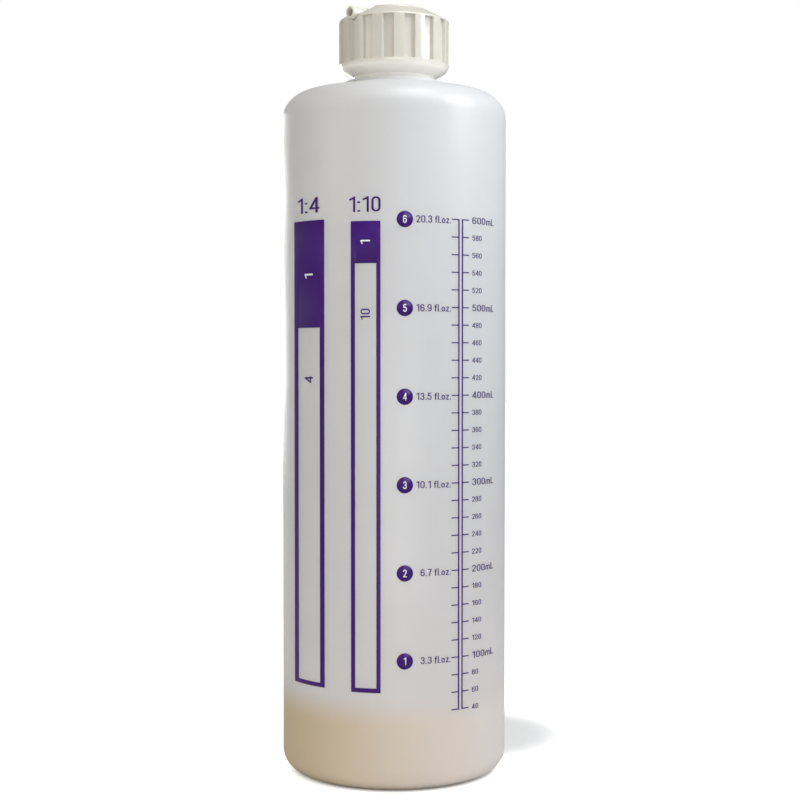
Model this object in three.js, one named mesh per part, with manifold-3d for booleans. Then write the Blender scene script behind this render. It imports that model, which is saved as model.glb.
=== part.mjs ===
// A cylindrical squeeze bottle with a fluted screw cap and a flip-up spout.
// Millimetres, +Z up. The origin is under the middle of the bottle, on the surface
// that it stands on. The side with the printed scale faces -Y.
import * as THREE from "three";
import { mergeVertices } from "three/addons/utils/BufferGeometryUtils.js";
import Module from "manifold-3d";

const wasm = await Module();
wasm.setup();

// Driving dimensions of the bottle
const BODY_RADIUS = 35.8;
const BODY_WALL = 1.2;
const SIDE_TOP = 207.7; // height at which the straight side turns into the shoulder
const HEEL_RADIUS = 6.8;
const SHOULDER_RADIUS = 8.5;
const SHOULDER_SLOPE = THREE.MathUtils.degToRad(11.2);
const STANDING_RING_WIDTH = 2.6;
const PUSH_UP_STEP = 0.9;
const PUSH_UP_DOME = 1.7; // rise of the dome above the step
const NECK_RADIUS = 10.9; // at the root of the thread
const NECK_WALL = 1.9;
const NECK_HEIGHT = 15.6;
const NECK_RING_WIDTH = 5.5;
const NECK_RING_HEIGHT = 1.0;
const NECK_LIP_ROUND = 0.5;
const NECK_ROOT_ROUND = 2.4;
const THREAD_DEPTH = 1.05;

// Driving dimensions of the seal
const SEAL_THICKNESS = 1.2;
const SEAL_OVERHANG = 1.6; // past the neck's bore

// Driving dimensions of the cap
const CAP_WALL = 5.3; // from the root of the cap's thread to the lands between the flutes
const COLLAR_WALL = 0.85;
const COLLAR_HEIGHT = 1.3;
const TAPER_SLOPE = THREE.MathUtils.degToRad(29);
const TAPER_ROUND = 2.4;
const BAND_BELOW_FLUTES = 1.05;
const BAND_ABOVE_FLUTES = 0.5;
const RIM_ROUND = 0.9;
const CROWN_RISE = 3.6;
const CROWN_INSET = 6.65; // from the lands to the flat of the crown
const CROWN_STEP = 0.45; // the low wall round the flat
const CROWN_STEP_DRAFT = 0.15;
const CROWN_ROUND = 0.3;
const FLUTE_COUNT = 16;
const FLUTE_DEPTH = 1.0;
const FLUTE_SHARE = 0.5; // of the pitch, at the lands
const FLUTE_WALL_SLANT = 0.25;
const FIRST_LAND_ANGLE = THREE.MathUtils.degToRad(5.625); // from the front towards +X
const CHANNEL_FLOOR = 1.0; // thickness of the cap under the spout's channel
const SOCKET_WALL = 1.0;
const SOCKET_LIP = 2.93; // how far the socket's walls stand above the spout's axis
const PLUG_CHAMFER = 0.4;

// Driving dimensions of the spout
const SPOUT_ANGLE = THREE.MathUtils.degToRad(-46.2); // from the front towards +X
const SPOUT_OVERHANG = 1.55; // of the tip past the cap's rim
const SPOUT_BORE_RADIUS = 1.3;
const SPOUT_ROOT_WALL = 0.7;
const SPOUT_TIP_WALL = 0.58;
const SPOUT_TIP_ROUND = 0.25;
const BARREL_STEP = 1.2; // from the tube's root to the barrel's surface
const BARREL_LENGTH = 7.0;
const BARREL_CHAMFER = 0.4;

// Clearances
const SEAT_GAP = 0.1; // between the seal and the faces that it lies on
const SEAL_SIDE_GAP = 0.45;
const THREAD_GAP = 0.3; // between the crest of the neck's thread and the cap
const RING_GAP = 0.4; // between the cap's collar and the ring on the shoulder
const BARREL_GAP = 0.2;
const CHANNEL_GAP = 0.3;

// Smoothness
const BODY_FACETS = 60;
const CAP_FACETS = 80;
const SEAL_FACETS = 60;
const SPOUT_FACETS = 24;
const BARREL_FACETS = 40;
const CHORD_ERROR = 0.04; // between an arc and its chords
const PUSH_UP_POINTS = 4;
const CUT_PAST = 1.0; // how far a cutter runs past what it cuts

// Radii that follow
const neckBore = NECK_RADIUS - NECK_WALL;
const neckRingRadius = NECK_RADIUS + NECK_RING_WIDTH;
const capBore = NECK_RADIUS + THREAD_DEPTH + THREAD_GAP;
const capRadius = capBore + CAP_WALL;
const collarRadius = capBore + COLLAR_WALL;
const crownRadius = capRadius - CROWN_INSET;
const sealOuter = capBore - SEAL_SIDE_GAP;
const sealInner = neckBore - SEAL_OVERHANG;
const spoutRoot = SPOUT_BORE_RADIUS + SPOUT_ROOT_WALL;
const spoutTip = SPOUT_BORE_RADIUS + SPOUT_TIP_WALL;
const spoutReach = capRadius + SPOUT_OVERHANG;
const barrelRadius = spoutRoot + BARREL_STEP;
const socketRadius = barrelRadius + BARREL_GAP;
const socketLength = BARREL_LENGTH + 2 * BARREL_GAP;
const channelRadius = spoutRoot + CHANNEL_GAP;
const plugRadius = socketLength / 2 + SOCKET_WALL;

// Heights that follow, from the surface that the bottle stands on
const shoulderCentre = new THREE.Vector2(BODY_RADIUS - SHOULDER_RADIUS, SIDE_TOP);
const neckRingFoot = shoulderHeightAt(neckRingRadius, 0);
const neckRingTop = neckRingFoot + NECK_RING_HEIGHT;
const neckTop = neckRingTop + NECK_HEIGHT;
const sealFoot = neckTop + SEAT_GAP;
const sealSeat = sealFoot + SEAL_THICKNESS + SEAT_GAP;

// Heights in the cap's own frame, whose origin is the middle of the seal's seat
const spoutAxis = CHANNEL_FLOOR + channelRadius;
const crownTop = spoutAxis + SOCKET_LIP;
const rimTop = crownTop - CROWN_RISE;
const flutesTop = rimTop - BAND_ABOVE_FLUTES;
const plugFoot = spoutAxis - socketRadius - SOCKET_WALL;
const capFoot = neckRingTop + RING_GAP - sealSeat;
const taperFoot = capFoot + COLLAR_HEIGHT;
const taperTop = taperFoot + (capRadius - collarRadius) * Math.tan(TAPER_SLOPE);
const flutesFoot = taperTop + BAND_BELOW_FLUTES;

// The height of the shoulder's slope at a radius, on a surface sunk by a wall thickness.
function shoulderHeightAt(radius, sunk) {
  const curve = SHOULDER_RADIUS - sunk;
  const startX = shoulderCentre.x + curve * Math.sin(SHOULDER_SLOPE);
  const startY = shoulderCentre.y + curve * Math.cos(SHOULDER_SLOPE);
  return startY + (startX - radius) * Math.tan(SHOULDER_SLOPE);
}

// Points on an arc, both ends included.
function arc(centreX, centreY, radius, from, to) {
  const step = 2 * Math.acos(1 - CHORD_ERROR / radius);
  const count = Math.max(2, Math.ceil(Math.abs(to - from) / step));
  return Array.from({ length: count + 1 }, (_, i) => {
    const angle = from + ((to - from) * i) / count;
    return new THREE.Vector2(centreX + radius * Math.cos(angle), centreY + radius * Math.sin(angle));
  });
}

// The arc that rounds the corner between two straight stretches.
function roundedCorner(before, corner, after, radius) {
  const inward = before.clone().sub(corner).normalize();
  const outward = after.clone().sub(corner).normalize();
  const half = Math.acos(THREE.MathUtils.clamp(inward.dot(outward), -1, 1)) / 2;
  const middle = inward.clone().add(outward).normalize();
  const centre = middle.multiplyScalar(radius / Math.sin(half)).add(corner);
  const reach = radius / Math.tan(half);
  const start = inward.multiplyScalar(reach).add(corner).sub(centre);
  const end = outward.multiplyScalar(reach).add(corner).sub(centre);
  let turn = end.angle() - start.angle();
  if (turn > Math.PI) turn -= 2 * Math.PI;
  if (turn < -Math.PI) turn += 2 * Math.PI;
  return arc(centre.x, centre.y, radius, start.angle(), start.angle() + turn);
}

// A solid of revolution about Z from an outline of radius and height.
function revolve(outline, facets) {
  return new THREE.LatheGeometry(outline, facets).rotateX(Math.PI / 2);
}

// A closed geometry as a solid that can be joined and cut.
function solidOf(geometry) {
  const bare = geometry.clone();
  bare.deleteAttribute("normal");
  bare.deleteAttribute("uv");
  const merged = mergeVertices(bare, 1e-4);
  const vertProperties = merged.attributes.position.array;
  const triVerts = new Uint32Array(merged.index.array);
  return new wasm.Manifold(new wasm.Mesh({ numProp: 3, vertProperties, triVerts }));
}

function geometryOf(solid) {
  const { vertProperties, triVerts } = solid.getMesh();
  const geometry = new THREE.BufferGeometry();
  geometry.setAttribute("position", new THREE.BufferAttribute(vertProperties, 3));
  geometry.setIndex(new THREE.BufferAttribute(triVerts, 1));
  geometry.computeVertexNormals();
  return geometry;
}

function mesh(name, geometry, look) {
  const made = new THREE.Mesh(geometry, new THREE.MeshStandardMaterial(look));
  made.name = name;
  return made;
}

// The underside of the base: a flat standing ring, a step, and a shallow dome to the axis.
function pushUp(lift) {
  const ringInner = BODY_RADIUS - HEEL_RADIUS - STANDING_RING_WIDTH;
  const domeEdge = ringInner - PUSH_UP_STEP;
  const domeRadius = (domeEdge ** 2 + PUSH_UP_DOME ** 2) / (2 * PUSH_UP_DOME);
  const points = [new THREE.Vector2(ringInner, lift)];
  for (let i = 0; i <= PUSH_UP_POINTS; i++) {
    const radius = domeEdge * (1 - i / PUSH_UP_POINTS);
    const fall = domeRadius - Math.sqrt(domeRadius ** 2 - radius ** 2);
    points.push(new THREE.Vector2(radius, lift + PUSH_UP_STEP + PUSH_UP_DOME - fall));
  }
  return points;
}

// One blow-moulded shell: base, side, shoulder, ring and neck, open at the top.
function bottleGeometry() {
  const heelX = BODY_RADIUS - HEEL_RADIUS;
  const shoulderTurn = Math.PI / 2 - SHOULDER_SLOPE;
  const ringFoot = new THREE.Vector2(neckRingRadius, neckRingFoot);
  const ringOuter = new THREE.Vector2(neckRingRadius, neckRingTop);
  const ringInner = new THREE.Vector2(NECK_RADIUS, neckRingTop);
  const lipOuter = new THREE.Vector2(NECK_RADIUS, neckTop);
  const lipInner = new THREE.Vector2(neckBore, neckTop);
  const boreFoot = new THREE.Vector2(neckBore, shoulderHeightAt(neckBore, BODY_WALL));
  const underShoulder = new THREE.Vector2(neckRingRadius, shoulderHeightAt(neckRingRadius, BODY_WALL));
  const outside = [
    ...pushUp(0).reverse(),
    ...arc(heelX, HEEL_RADIUS, HEEL_RADIUS, -Math.PI / 2, 0),
    ...arc(shoulderCentre.x, shoulderCentre.y, SHOULDER_RADIUS, 0, shoulderTurn),
    ringFoot,
    ...roundedCorner(ringFoot, ringOuter, ringInner, NECK_RING_HEIGHT / 2),
    ringInner,
    ...roundedCorner(ringInner, lipOuter, lipInner, NECK_LIP_ROUND),
    lipInner,
  ];
  const inside = [
    ...roundedCorner(lipInner, boreFoot, underShoulder, NECK_ROOT_ROUND),
    ...arc(shoulderCentre.x, shoulderCentre.y, SHOULDER_RADIUS - BODY_WALL, shoulderTurn, 0),
    ...arc(heelX, HEEL_RADIUS, HEEL_RADIUS - BODY_WALL, 0, -Math.PI / 2),
    ...pushUp(BODY_WALL),
  ];
  return revolve([...outside, ...inside], BODY_FACETS);
}

// A flat ring that lies on the neck's lip and closes it against the cap.
function sealGeometry() {
  const outline = [
    new THREE.Vector2(sealInner, 0),
    new THREE.Vector2(sealOuter, 0),
    new THREE.Vector2(sealOuter, SEAL_THICKNESS),
    new THREE.Vector2(sealInner, SEAL_THICKNESS),
    new THREE.Vector2(sealInner, 0),
  ];
  return revolve(outline, SEAL_FACETS);
}

// The cap before it is fluted and cut for the spout.
function capBlank() {
  const collarOuter = new THREE.Vector2(collarRadius, taperFoot);
  const taperEdge = new THREE.Vector2(capRadius, taperTop);
  const rimEdge = new THREE.Vector2(capRadius, rimTop);
  const crownFoot = new THREE.Vector2(crownRadius + CROWN_STEP_DRAFT, crownTop - CROWN_STEP);
  const crownEdge = new THREE.Vector2(crownRadius, crownTop);
  const crownMiddle = new THREE.Vector2(0, crownTop);
  const outline = [
    new THREE.Vector2(0, 0),
    new THREE.Vector2(capBore, 0),
    new THREE.Vector2(capBore, capFoot),
    new THREE.Vector2(collarRadius, capFoot),
    collarOuter,
    ...roundedCorner(collarOuter, taperEdge, rimEdge, TAPER_ROUND),
    ...roundedCorner(taperEdge, rimEdge, crownFoot, RIM_ROUND),
    crownFoot,
    ...roundedCorner(crownFoot, crownEdge, crownMiddle, CROWN_ROUND),
    crownMiddle,
  ];
  return solidOf(revolve(outline, CAP_FACETS));
}

// The cutter for one finger flute, centred on the front.
function fluteCutter() {
  const outerRadius = capRadius + CUT_PAST;
  const floorRadius = capRadius - FLUTE_DEPTH;
  const halfWidth = (FLUTE_SHARE * Math.PI * capRadius) / FLUTE_COUNT;
  const slope = FLUTE_WALL_SLANT / FLUTE_DEPTH;
  const floorAngle = Math.asin((halfWidth - FLUTE_WALL_SLANT) / floorRadius);
  const outerAngle = Math.asin((halfWidth + slope * CUT_PAST) / outerRadius);
  const front = -Math.PI / 2;
  const outline = new THREE.Shape();
  outline.absarc(0, 0, floorRadius, front - floorAngle, front + floorAngle, false);
  outline.absarc(0, 0, outerRadius, front + outerAngle, front - outerAngle, true);
  const extent = { depth: flutesTop - flutesFoot, bevelEnabled: false, curveSegments: 3 };
  return new THREE.ExtrudeGeometry(outline, extent).translate(0, 0, flutesFoot);
}

// The channel that the spout lies in, with a round floor, open to the top and at the rim.
function channelCutter() {
  const height = crownTop - spoutAxis + CUT_PAST;
  const outline = new THREE.Shape();
  outline.absarc(0, 0, channelRadius, Math.PI, 2 * Math.PI, false);
  outline.lineTo(channelRadius, height);
  outline.lineTo(-channelRadius, height);
  const extent = { depth: channelRadius + capRadius + CUT_PAST, bevelEnabled: false, curveSegments: 10 };
  const along = new THREE.Matrix4().makeBasis(
    new THREE.Vector3(0, 1, 0),
    new THREE.Vector3(0, 0, 1),
    new THREE.Vector3(1, 0, 0),
  );
  return new THREE.ExtrudeGeometry(outline, extent)
    .applyMatrix4(along)
    .translate(-channelRadius, 0, spoutAxis);
}

// One moulding: fluted skirt, tapered underside, crown, socket and channel for the spout.
function capGeometry() {
  let cap = capBlank();
  const plugOutline = [
    new THREE.Vector2(0, plugFoot),
    new THREE.Vector2(plugRadius - PLUG_CHAMFER, plugFoot),
    new THREE.Vector2(plugRadius, plugFoot + PLUG_CHAMFER),
    new THREE.Vector2(plugRadius, SOCKET_WALL),
    new THREE.Vector2(0, SOCKET_WALL),
  ];
  cap = cap.add(solidOf(revolve(plugOutline, BARREL_FACETS)));
  const pitch = (2 * Math.PI) / FLUTE_COUNT;
  for (let i = 0; i < FLUTE_COUNT; i++) {
    const angle = FIRST_LAND_ANGLE + (i + 0.5) * pitch;
    cap = cap.subtract(solidOf(fluteCutter().rotateZ(angle)));
  }
  const turn = SPOUT_ANGLE - Math.PI / 2;
  const socket = new THREE.CylinderGeometry(socketRadius, socketRadius, socketLength, BARREL_FACETS);
  cap = cap.subtract(solidOf(socket.translate(0, 0, spoutAxis).rotateZ(turn)));
  cap = cap.subtract(solidOf(channelCutter().rotateZ(turn)));
  const portLength = spoutAxis - plugFoot + CUT_PAST;
  const port = new THREE.CylinderGeometry(SPOUT_BORE_RADIUS, SPOUT_BORE_RADIUS, portLength, SPOUT_FACETS);
  port.rotateX(Math.PI / 2).translate(0, 0, spoutAxis - portLength / 2);
  cap = cap.subtract(solidOf(port));
  return geometryOf(cap);
}

// A tube on a barrel, lying along +X from the barrel's middle, with one bore right through.
function spoutGeometry() {
  const barrelHalf = BARREL_LENGTH / 2;
  const barrelOutline = [
    new THREE.Vector2(0, -barrelHalf),
    new THREE.Vector2(barrelRadius - BARREL_CHAMFER, -barrelHalf),
    new THREE.Vector2(barrelRadius, BARREL_CHAMFER - barrelHalf),
    new THREE.Vector2(barrelRadius, barrelHalf - BARREL_CHAMFER),
    new THREE.Vector2(barrelRadius - BARREL_CHAMFER, barrelHalf),
    new THREE.Vector2(0, barrelHalf),
  ];
  const tipMiddle = new THREE.Vector2(0, spoutReach);
  const tipEdge = new THREE.Vector2(spoutTip, spoutReach);
  const root = new THREE.Vector2(spoutRoot, 0);
  const tubeOutline = [
    new THREE.Vector2(0, 0),
    root,
    ...roundedCorner(root, tipEdge, tipMiddle, SPOUT_TIP_ROUND),
    tipMiddle,
  ];
  const barrel = new THREE.LatheGeometry(barrelOutline, BARREL_FACETS);
  const tube = revolve(tubeOutline, SPOUT_FACETS).rotateY(Math.PI / 2);
  const boreLength = spoutReach + barrelRadius + 2 * CUT_PAST;
  const bore = new THREE.CylinderGeometry(SPOUT_BORE_RADIUS, SPOUT_BORE_RADIUS, boreLength, SPOUT_FACETS);
  bore.rotateZ(Math.PI / 2).translate(boreLength / 2 - barrelRadius - CUT_PAST, 0, 0);
  return geometryOf(solidOf(barrel).add(solidOf(tube)).subtract(solidOf(bore)));
}

const bottle = mesh("bottle", bottleGeometry(), {
  color: 0xdcdcd6,
  roughness: 0.45,
  metalness: 0,
  transparent: true,
  opacity: 0.6,
});

const seal = mesh("seal_washer", sealGeometry(), { color: 0xe6e4dc, roughness: 0.8, metalness: 0 });
seal.position.z = sealFoot;

const cap = mesh("cap", capGeometry(), { color: 0xefeee8, roughness: 0.3, metalness: 0 });

const spout = mesh("spout", spoutGeometry(), { color: 0xf0efe9, roughness: 0.3, metalness: 0 });
spout.position.z = spoutAxis;
spout.rotation.z = SPOUT_ANGLE - Math.PI / 2;

const closure = new THREE.Group();
closure.position.z = sealSeat;
closure.add(cap, spout);

const dilutionBottle = new THREE.Group();
dilutionBottle.add(bottle, seal, closure);

export default dilutionBottle;
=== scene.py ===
# %% [markdown]
# # A squeeze bottle for mixing by ratio
# The real object is a tall blow-moulded bottle of natural, milky plastic. It has a purple
# scale printed on its front, and a white screw cap with a small spout that flips up. The
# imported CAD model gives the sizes, the bodies and the joints. This script gives each body
# a finely rounded shape and its finish, and rebuilds the light of the photograph.

# %% The frame and the units
import math

import bmesh
import bpy
from mathutils import Matrix, Vector


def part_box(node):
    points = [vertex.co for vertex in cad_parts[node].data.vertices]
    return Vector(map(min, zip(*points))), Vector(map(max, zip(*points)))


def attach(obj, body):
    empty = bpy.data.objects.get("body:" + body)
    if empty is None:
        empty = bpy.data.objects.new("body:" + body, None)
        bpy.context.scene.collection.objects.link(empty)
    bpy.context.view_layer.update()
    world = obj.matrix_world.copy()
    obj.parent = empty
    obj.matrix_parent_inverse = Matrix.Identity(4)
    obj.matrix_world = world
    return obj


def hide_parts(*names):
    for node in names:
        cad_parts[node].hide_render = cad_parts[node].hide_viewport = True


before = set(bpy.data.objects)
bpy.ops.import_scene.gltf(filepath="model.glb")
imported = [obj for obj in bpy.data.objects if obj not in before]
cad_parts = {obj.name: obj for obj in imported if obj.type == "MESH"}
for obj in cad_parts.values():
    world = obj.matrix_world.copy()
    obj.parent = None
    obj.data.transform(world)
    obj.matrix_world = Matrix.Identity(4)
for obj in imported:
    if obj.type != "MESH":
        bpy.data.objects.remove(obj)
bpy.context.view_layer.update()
MM = 0.001

# %% [markdown]
# ## The camera
# The photograph looks slightly down at the bottle from half a metre, through a lens of
# about 73 mm. The bottle stands a few pixels left of the middle, so the camera sits 2 mm
# to the right of its axis and looks straight ahead.

# %% The camera
LENS = 72.77
LOOK_DOWN = 1.535
camera = bpy.data.objects.new("camera", bpy.data.cameras.new("camera"))
camera.data.sensor_width = 36.0
camera.data.lens = LENS
camera.location = (1.93 * MM, -520.8 * MM, 132.3 * MM)
camera.rotation_euler = (math.radians(90.0 - LOOK_DOWN), 0.0, 0.0)
bpy.context.scene.collection.objects.link(camera)
bpy.context.scene.camera = camera
print("camera", [round(value, 4) for value in camera.location], "lens", LENS)

# %% [markdown]
# ## Turned outlines
# Most of these pieces are round. Such a piece could be a cylinder with many cuts, but an
# outline that is spun about the axis keeps every wall and corner in one short list. The
# outline is a chain of edges in millimetres: radius, height and, where a corner is rounded,
# its radius. A vertex bevel turns each such corner into an arc before the spin.

# %% Helpers for turned pieces
def outline(corners, segments, closed=False):
    """A wire in the plane x = 0, in front of the axis, with its corners rounded."""
    bm = bmesh.new()
    verts = [bm.verts.new((0.0, -corner[0], corner[1])) for corner in corners]
    pairs = list(zip(verts, verts[1:]))
    if closed:
        pairs.append((verts[-1], verts[0]))
    for pair in pairs:
        bm.edges.new(pair)
    for vert, corner in zip(verts, corners):
        if len(corner) > 2:
            round_corner(bm, vert, corner[2], segments)
    return bm


def round_corner(bm, vert, radius, segments):
    before, after = [edge.other_vert(vert).co - vert.co for edge in vert.link_edges]
    tangent = radius / math.tan(before.angle(after) / 2.0)
    bmesh.ops.bevel(
        bm,
        geom=[vert],
        offset=tangent,
        offset_type="OFFSET",
        affect="VERTICES",
        segments=segments,
        profile=0.5,
        material=-1,
    )


def turned(bm, steps):
    """Spins the wire once round the vertical axis into a closed surface."""
    bmesh.ops.spin(
        bm,
        geom=bm.verts[:] + bm.edges[:],
        cent=(0.0, 0.0, 0.0),
        axis=(0.0, 0.0, 1.0),
        dvec=(0.0, 0.0, 0.0),
        angle=2.0 * math.pi,
        steps=steps,
        use_merge=True,
    )
    bmesh.ops.remove_doubles(bm, verts=bm.verts, dist=1e-4)
    bmesh.ops.recalc_face_normals(bm, faces=bm.faces)
    return bm


# %% A helper that makes a finished object
SHARP_ANGLE = math.radians(32.0)


def made(bm, name, material):
    """A mesh in metres, shaded smooth up to the sharp angle, with its object at the origin."""
    mesh = bpy.data.meshes.new(name)
    bm.to_mesh(mesh)
    bm.free()
    mesh.transform(Matrix.Scale(MM, 4))
    mesh.shade_smooth()
    mesh.set_sharp_from_angle(angle=SHARP_ANGLE)
    mesh.materials.append(material)
    piece = bpy.data.objects.new(name, mesh)
    bpy.context.scene.collection.objects.link(piece)
    triangles = sum(len(polygon.vertices) - 2 for polygon in mesh.polygons)
    print(name, "has", triangles, "triangles")
    return piece


# %% [markdown]
# ## One skin for moulded plastic
# Moulded plastic is never quite even: its colour drifts in soft clouds, its gloss changes a
# little from place to place, and the surface has a fine orange peel from the mould. All the
# finishes here need this, so it is one node group that gives a colour, a roughness and a
# height. Each material sets its own amounts and keeps its own shader.

# %% The group for the moulded skin
MIX_A, MIX_B, MIX_RESULT = 6, 7, 2  # the colour sockets of a Mix node


def add_socket(group, name, kind, direction, value=None):
    socket = group.interface.new_socket(name=name, in_out=direction, socket_type=kind)
    if value is not None:
        socket.default_value = value
    return socket


def moulded_skin():
    group = bpy.data.node_groups.new("moulded skin", "ShaderNodeTree")
    add_socket(group, "Vector", "NodeSocketVector", "INPUT")
    add_socket(group, "Color", "NodeSocketColor", "INPUT", (0.8, 0.8, 0.8, 1.0))
    add_socket(group, "Cloud Color", "NodeSocketColor", "INPUT", (0.7, 0.7, 0.7, 1.0))
    add_socket(group, "Cloud Size", "NodeSocketFloat", "INPUT", 60.0)
    add_socket(group, "Low Roughness", "NodeSocketFloat", "INPUT", 0.3)
    add_socket(group, "High Roughness", "NodeSocketFloat", "INPUT", 0.4)
    add_socket(group, "Peel Size", "NodeSocketFloat", "INPUT", 1500.0)
    add_socket(group, "Color", "NodeSocketColor", "OUTPUT")
    add_socket(group, "Roughness", "NodeSocketFloat", "OUTPUT")
    add_socket(group, "Height", "NodeSocketFloat", "OUTPUT")
    nodes, links = group.nodes, group.links
    given = nodes.new("NodeGroupInput")
    result = nodes.new("NodeGroupOutput")
    clouds = nodes.new("ShaderNodeTexNoise")
    clouds.inputs["Detail"].default_value = 4.0
    links.new(given.outputs["Vector"], clouds.inputs["Vector"])
    links.new(given.outputs["Cloud Size"], clouds.inputs["Scale"])
    share = nodes.new("ShaderNodeMapRange")
    share.inputs["From Min"].default_value = 0.35
    share.inputs["From Max"].default_value = 0.65
    links.new(clouds.outputs["Fac"], share.inputs["Value"])
    blend = nodes.new("ShaderNodeMix")
    blend.data_type = "RGBA"
    links.new(share.outputs["Result"], blend.inputs["Factor"])
    links.new(given.outputs["Color"], blend.inputs[MIX_A])
    links.new(given.outputs["Cloud Color"], blend.inputs[MIX_B])
    links.new(blend.outputs[MIX_RESULT], result.inputs["Color"])
    gloss = nodes.new("ShaderNodeMapRange")
    gloss.inputs["From Min"].default_value = 0.3
    gloss.inputs["From Max"].default_value = 0.7
    links.new(clouds.outputs["Fac"], gloss.inputs["Value"])
    links.new(given.outputs["Low Roughness"], gloss.inputs["To Min"])
    links.new(given.outputs["High Roughness"], gloss.inputs["To Max"])
    links.new(gloss.outputs["Result"], result.inputs["Roughness"])
    peel = nodes.new("ShaderNodeTexNoise")
    peel.inputs["Detail"].default_value = 2.0
    links.new(given.outputs["Vector"], peel.inputs["Vector"])
    links.new(given.outputs["Peel Size"], peel.inputs["Scale"])
    links.new(peel.outputs["Fac"], result.inputs["Height"])
    return group


SKIN = moulded_skin()
print("shared group:", SKIN.name)


# %% A helper that starts a plastic material
def plastic(name, colour, cloud_colour, cloud_size, roughness, peel_size, peel_depth):
    """A material whose shader takes its colour, gloss and peel from the shared skin."""
    material = bpy.data.materials.new(name)
    material.use_nodes = True
    nodes, links = material.node_tree.nodes, material.node_tree.links
    shader = nodes["Principled BSDF"]
    place = nodes.new("ShaderNodeTexCoord")
    skin = nodes.new("ShaderNodeGroup")
    skin.name = "skin"
    skin.node_tree = SKIN
    skin.inputs["Color"].default_value = (*colour, 1.0)
    skin.inputs["Cloud Color"].default_value = (*cloud_colour, 1.0)
    skin.inputs["Cloud Size"].default_value = cloud_size
    skin.inputs["Low Roughness"].default_value = roughness[0]
    skin.inputs["High Roughness"].default_value = roughness[1]
    skin.inputs["Peel Size"].default_value = peel_size
    bump = nodes.new("ShaderNodeBump")
    bump.inputs["Strength"].default_value = 1.0
    bump.inputs["Distance"].default_value = peel_depth * MM
    links.new(place.outputs["Object"], skin.inputs["Vector"])
    links.new(skin.outputs["Color"], shader.inputs["Base Color"])
    links.new(skin.outputs["Roughness"], shader.inputs["Roughness"])
    links.new(skin.outputs["Height"], bump.inputs["Height"])
    links.new(bump.outputs["Normal"], shader.inputs["Normal"])
    return material


# %% [markdown]
# ## Natural plastic for the bottle
# Unpigmented polyethylene lets light through but blurs it, so the bottle looks milky and the
# far side never shows. A plain white would look like paint. Here part of the light passes
# through a rough transmission, and a shallow subsurface glow softens the rest. The
# photograph shows a fainter tone below the top of the scale and a warm beige foot, and both
# follow the height on the bottle.

# %% The bottle's material
BODY_HALF = 35.8
RAMP_TOP = 250.0
TONE_LINE = 173.0
BEIGE_TOP = 29.0
BEIGE_FOOT = 21.0
# The foot's beige is darker and warmer on the bottle's left and paler on its right: painted shade
# on the left and painted light on the right.
FOOT_LEFT_PAINTED_SHADE = (0.71, 0.56, 0.34, 1.0)
FOOT_RIGHT_PAINTED_LIGHT = (1.0, 0.91, 0.86, 1.0)


def height_of(material):
    """A value from 0 at the floor to 1 at the ramp's top, and the place that it comes from."""
    nodes, links = material.node_tree.nodes, material.node_tree.links
    place = nodes.new("ShaderNodeTexCoord")
    split = nodes.new("ShaderNodeSeparateXYZ")
    height = nodes.new("ShaderNodeMapRange")
    height.inputs["From Max"].default_value = RAMP_TOP * MM
    links.new(place.outputs["Object"], split.inputs["Vector"])
    links.new(split.outputs["Z"], height.inputs["Value"])
    return height, split


def height_ramp(material, height, stops):
    """A colour ramp along the bottle's height, with its stops in millimetres."""
    ramp = material.node_tree.nodes.new("ShaderNodeValToRGB")
    material.node_tree.links.new(height.outputs["Result"], ramp.inputs["Fac"])
    elements = ramp.color_ramp.elements
    while len(elements) < len(stops):
        elements.new(0.5)
    for element, (level, colour) in zip(elements, stops):
        element.position = level / RAMP_TOP
        element.color = (*colour, 1.0)
    return ramp


def tinted(material, tone):
    """Multiplies the skin's colour by a tone on its way to the shader."""
    nodes, links = material.node_tree.nodes, material.node_tree.links
    mix = nodes.new("ShaderNodeMix")
    mix.data_type = "RGBA"
    mix.blend_type = "MULTIPLY"
    mix.inputs["Factor"].default_value = 1.0
    links.new(nodes["skin"].outputs["Color"], mix.inputs[MIX_A])
    links.new(tone, mix.inputs[MIX_B])
    links.new(mix.outputs[MIX_RESULT], nodes["Principled BSDF"].inputs["Base Color"])


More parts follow.
